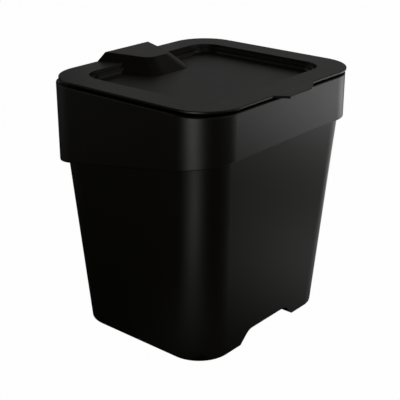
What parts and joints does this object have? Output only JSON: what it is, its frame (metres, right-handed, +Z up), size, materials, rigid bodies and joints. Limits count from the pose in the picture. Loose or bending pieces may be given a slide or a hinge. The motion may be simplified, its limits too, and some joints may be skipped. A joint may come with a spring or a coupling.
{
  "type": "countertop trash bin",
  "caption": "Small countertop waste bin: tapered bucket with a grip notch, slanted lift-off collar that hides the bag, and a hinged lid with a sunk panel and finger tab.",
  "frame": {"origin": "middle of the footprint of the whole bin, finger tab included, on the surface it stands on", "axes": "+Z up, -Y towards the front with the finger tab and grip notch, +X to the right seen from the front"},
  "size_m": [0.1838, 0.1724, 0.2058],
  "materials": {
    "bucket_plastic": "black moulded polypropylene, satin",
    "collar_plastic": "black moulded polypropylene, satin with a soft sheen",
    "lid_plastic": "black moulded polypropylene, fine matt grain",
    "pin_steel": "drawn steel wire, cut and chamfered",
    "buffer_rubber": "soft black rubber"
  },
  "bodies": {
    "bucket": {"bucket": "bucket_plastic"},
    "collar": {"collar": "collar_plastic", "lid_buffer_left": "buffer_rubber", "lid_buffer_right": "buffer_rubber"},
    "lid": {"lid": "lid_plastic", "hinge_cover": "lid_plastic", "hinge_pin_left": "pin_steel", "hinge_pin_right": "pin_steel"}
  },
  "joints": [
    {"name": "collar_lift", "type": "slide", "parent": "bucket", "child": "collar", "axis": [0, 0, 1], "range_m": [0, 0.062]},
    {"name": "lid_hinge", "type": "hinge", "parent": "collar", "child": "lid", "pos_m": [0, 0.0806, 0.2012], "axis": [-1, 0, 0], "range_deg": [0, 100]}
  ]
}
